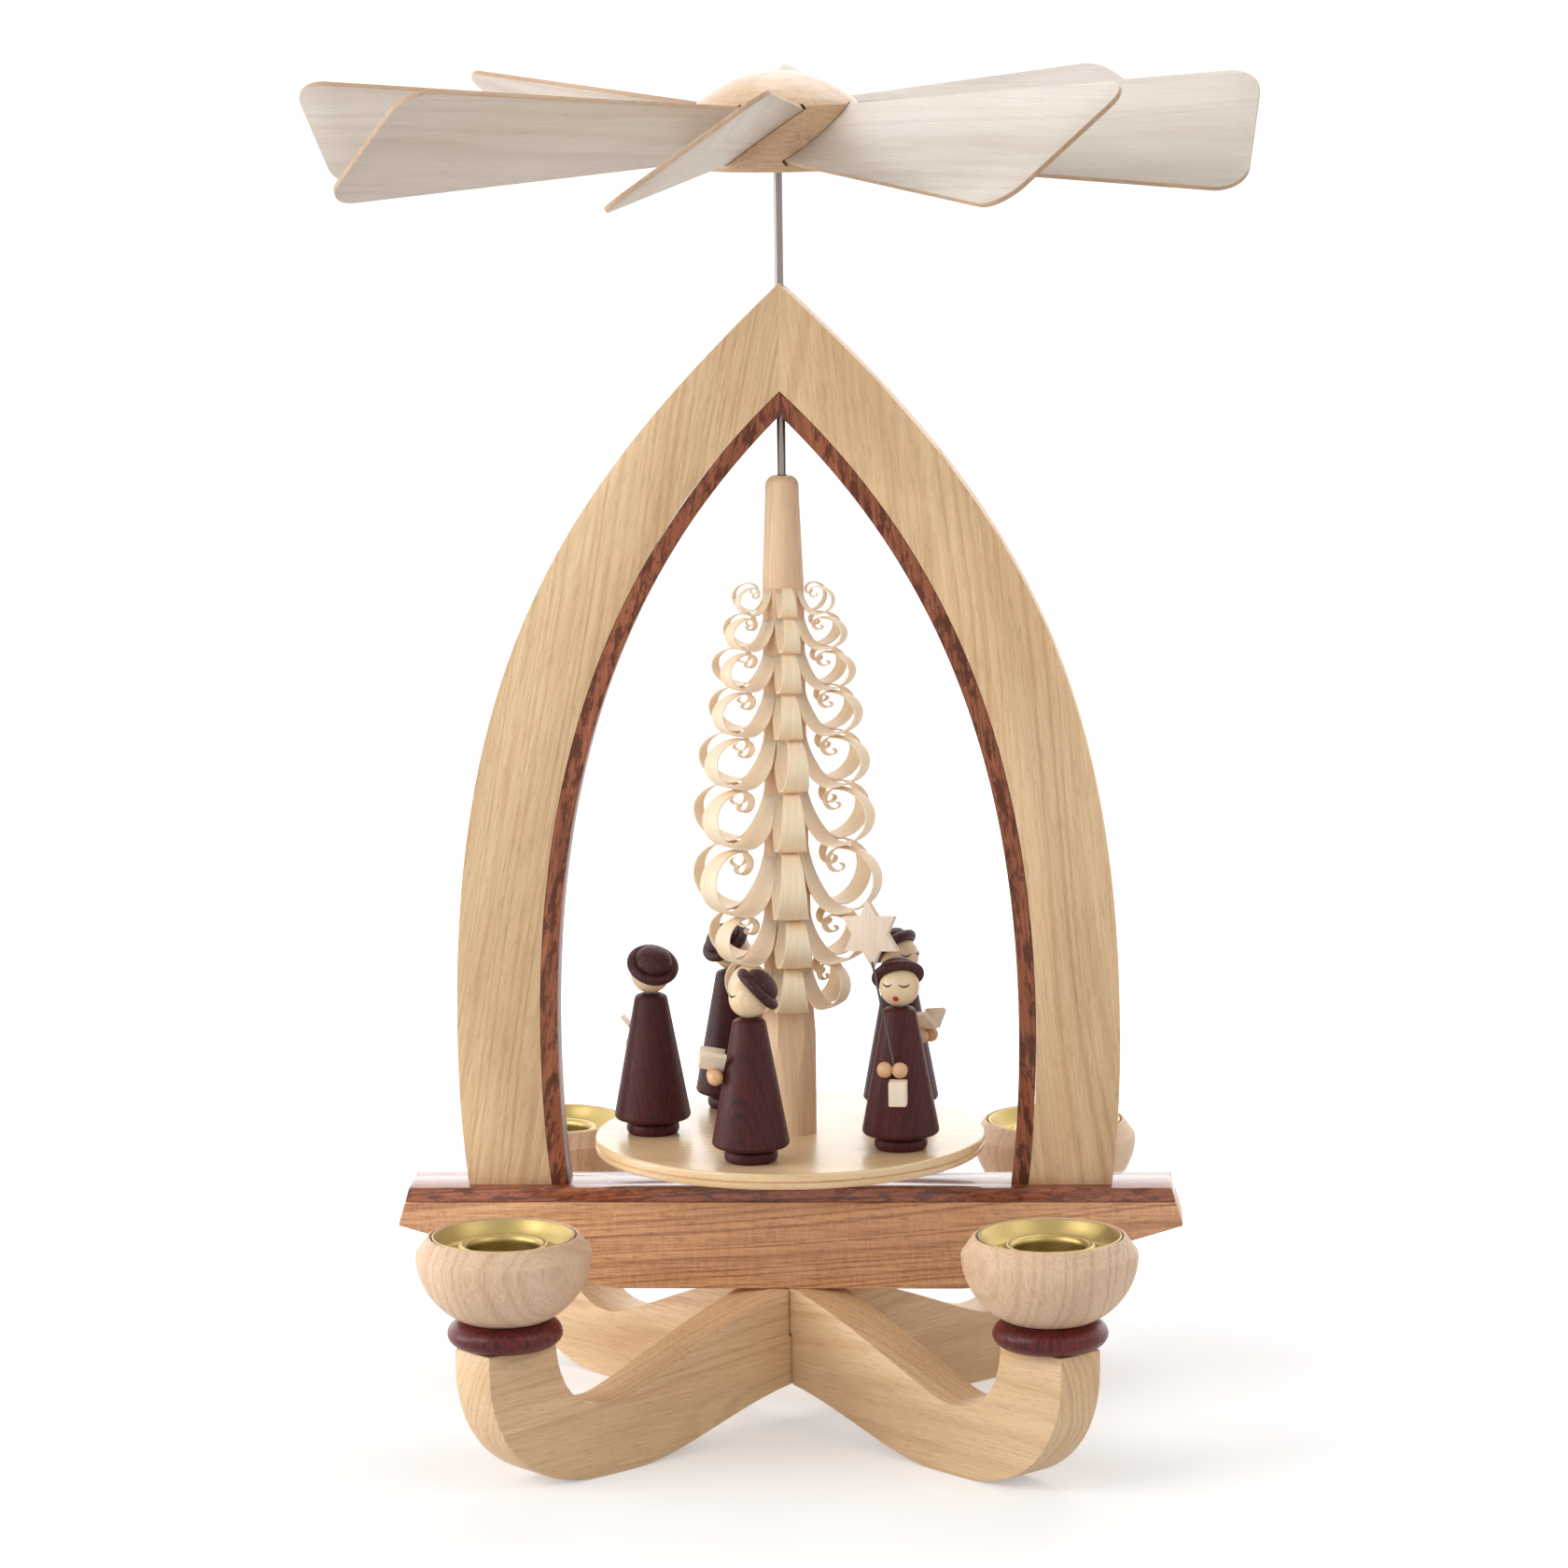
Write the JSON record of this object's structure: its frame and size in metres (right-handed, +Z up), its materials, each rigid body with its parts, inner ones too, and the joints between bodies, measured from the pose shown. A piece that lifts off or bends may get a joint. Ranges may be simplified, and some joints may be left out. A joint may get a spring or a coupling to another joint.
{
  "type": "christmas pyramid",
  "caption": "Wooden candle carousel: wing wheel on a spindle over a pointed arch, with a shaving tree and carol singers on a turning plate, and candle bowls on a curved cross.",
  "frame": {"origin": "on the spindle's axis, at the table that the feet stand on", "axes": "+Z up along the spindle, +X along the beam, front towards -Y"},
  "size_m": [0.2254, 0.2254, 0.325],
  "materials": {
    "ash": "fine-grained ash under clear satin varnish",
    "brown_wood": "warm brown, straight grain, satin varnish",
    "dark_wood": "dark reddish brown with darker streaks, satin varnish",
    "beech": "turned beech with short flecks, matt",
    "plywood": "birch plywood under glossy varnish",
    "wing_plywood": "thin pale plywood with browner cut edges, matt",
    "limewood": "bare pale limewood, matt",
    "wine_stain": "wine-brown stain, satin",
    "robe_stain": "wine-brown stain with the grain showing, satin",
    "hat_stain": "very dark brown stain, matt",
    "pale_wood": "pale bare wood, matt",
    "brass": "satin brass",
    "steel": "bright drawn steel"
  },
  "bodies": {
    "stand": {"cross_plank_lower": "ash", "cross_plank_upper": "ash", "cross_screw": "steel", "beam": "brown_wood", "beam_top_strip": "dark_wood", "arch_left": "ash", "arch_right": "ash", "arch_lining_left": "dark_wood", "arch_lining_right": "dark_wood", "spindle_bush": "brass", "point_bearing": "brass", "leg_dowel_left": "beech", "leg_dowel_right": "beech", "collar_front_left": "wine_stain", "bowl_front_left": "beech", "candle_cup_front_left": "brass", "collar_front_right": "wine_stain", "bowl_front_right": "beech", "candle_cup_front_right": "brass", "collar_back_left": "wine_stain", "bowl_back_left": "beech", "candle_cup_back_left": "brass", "collar_back_right": "wine_stain", "bowl_back_right": "beech", "candle_cup_back_right": "brass"},
    "carousel": {"spindle": "steel", "plate": "plywood", "plate_hub": "beech", "shaving_tree": "limewood", "wing_hub": "beech", "wing_1": "wing_plywood", "wing_2": "wing_plywood", "wing_3": "wing_plywood", "wing_4": "wing_plywood", "wing_5": "wing_plywood", "wing_6": "wing_plywood", "wing_7": "wing_plywood", "wing_8": "wing_plywood", "star_singer_robe": "robe_stain", "star_singer_head": "pale_wood", "star_singer_hat": "hat_stain", "star_singer_hands": "pale_wood", "star_singer_lantern": "pale_wood", "star_singer_star_staff": "pale_wood", "back_right_singer_robe": "robe_stain", "back_right_singer_head": "pale_wood", "back_right_singer_hat": "hat_stain", "back_right_singer_hands_and_book": "pale_wood", "back_left_singer_robe": "robe_stain", "back_left_singer_head": "pale_wood", "back_left_singer_hat": "hat_stain", "back_left_singer_hands_and_book": "pale_wood", "left_singer_robe": "robe_stain", "left_singer_head": "pale_wood", "left_singer_hat": "hat_stain", "left_singer_hands_and_book": "pale_wood", "front_left_singer_robe": "robe_stain", "front_left_singer_head": "pale_wood", "front_left_singer_hat": "hat_stain", "front_left_singer_hands_and_book": "pale_wood"}
  },
  "joints": [
    {"name": "carousel_spin", "type": "hinge", "parent": "stand", "child": "carousel", "pos_m": [0, 0, 0.0565], "axis": [0, 0, 1], "continuous": true}
  ]
}
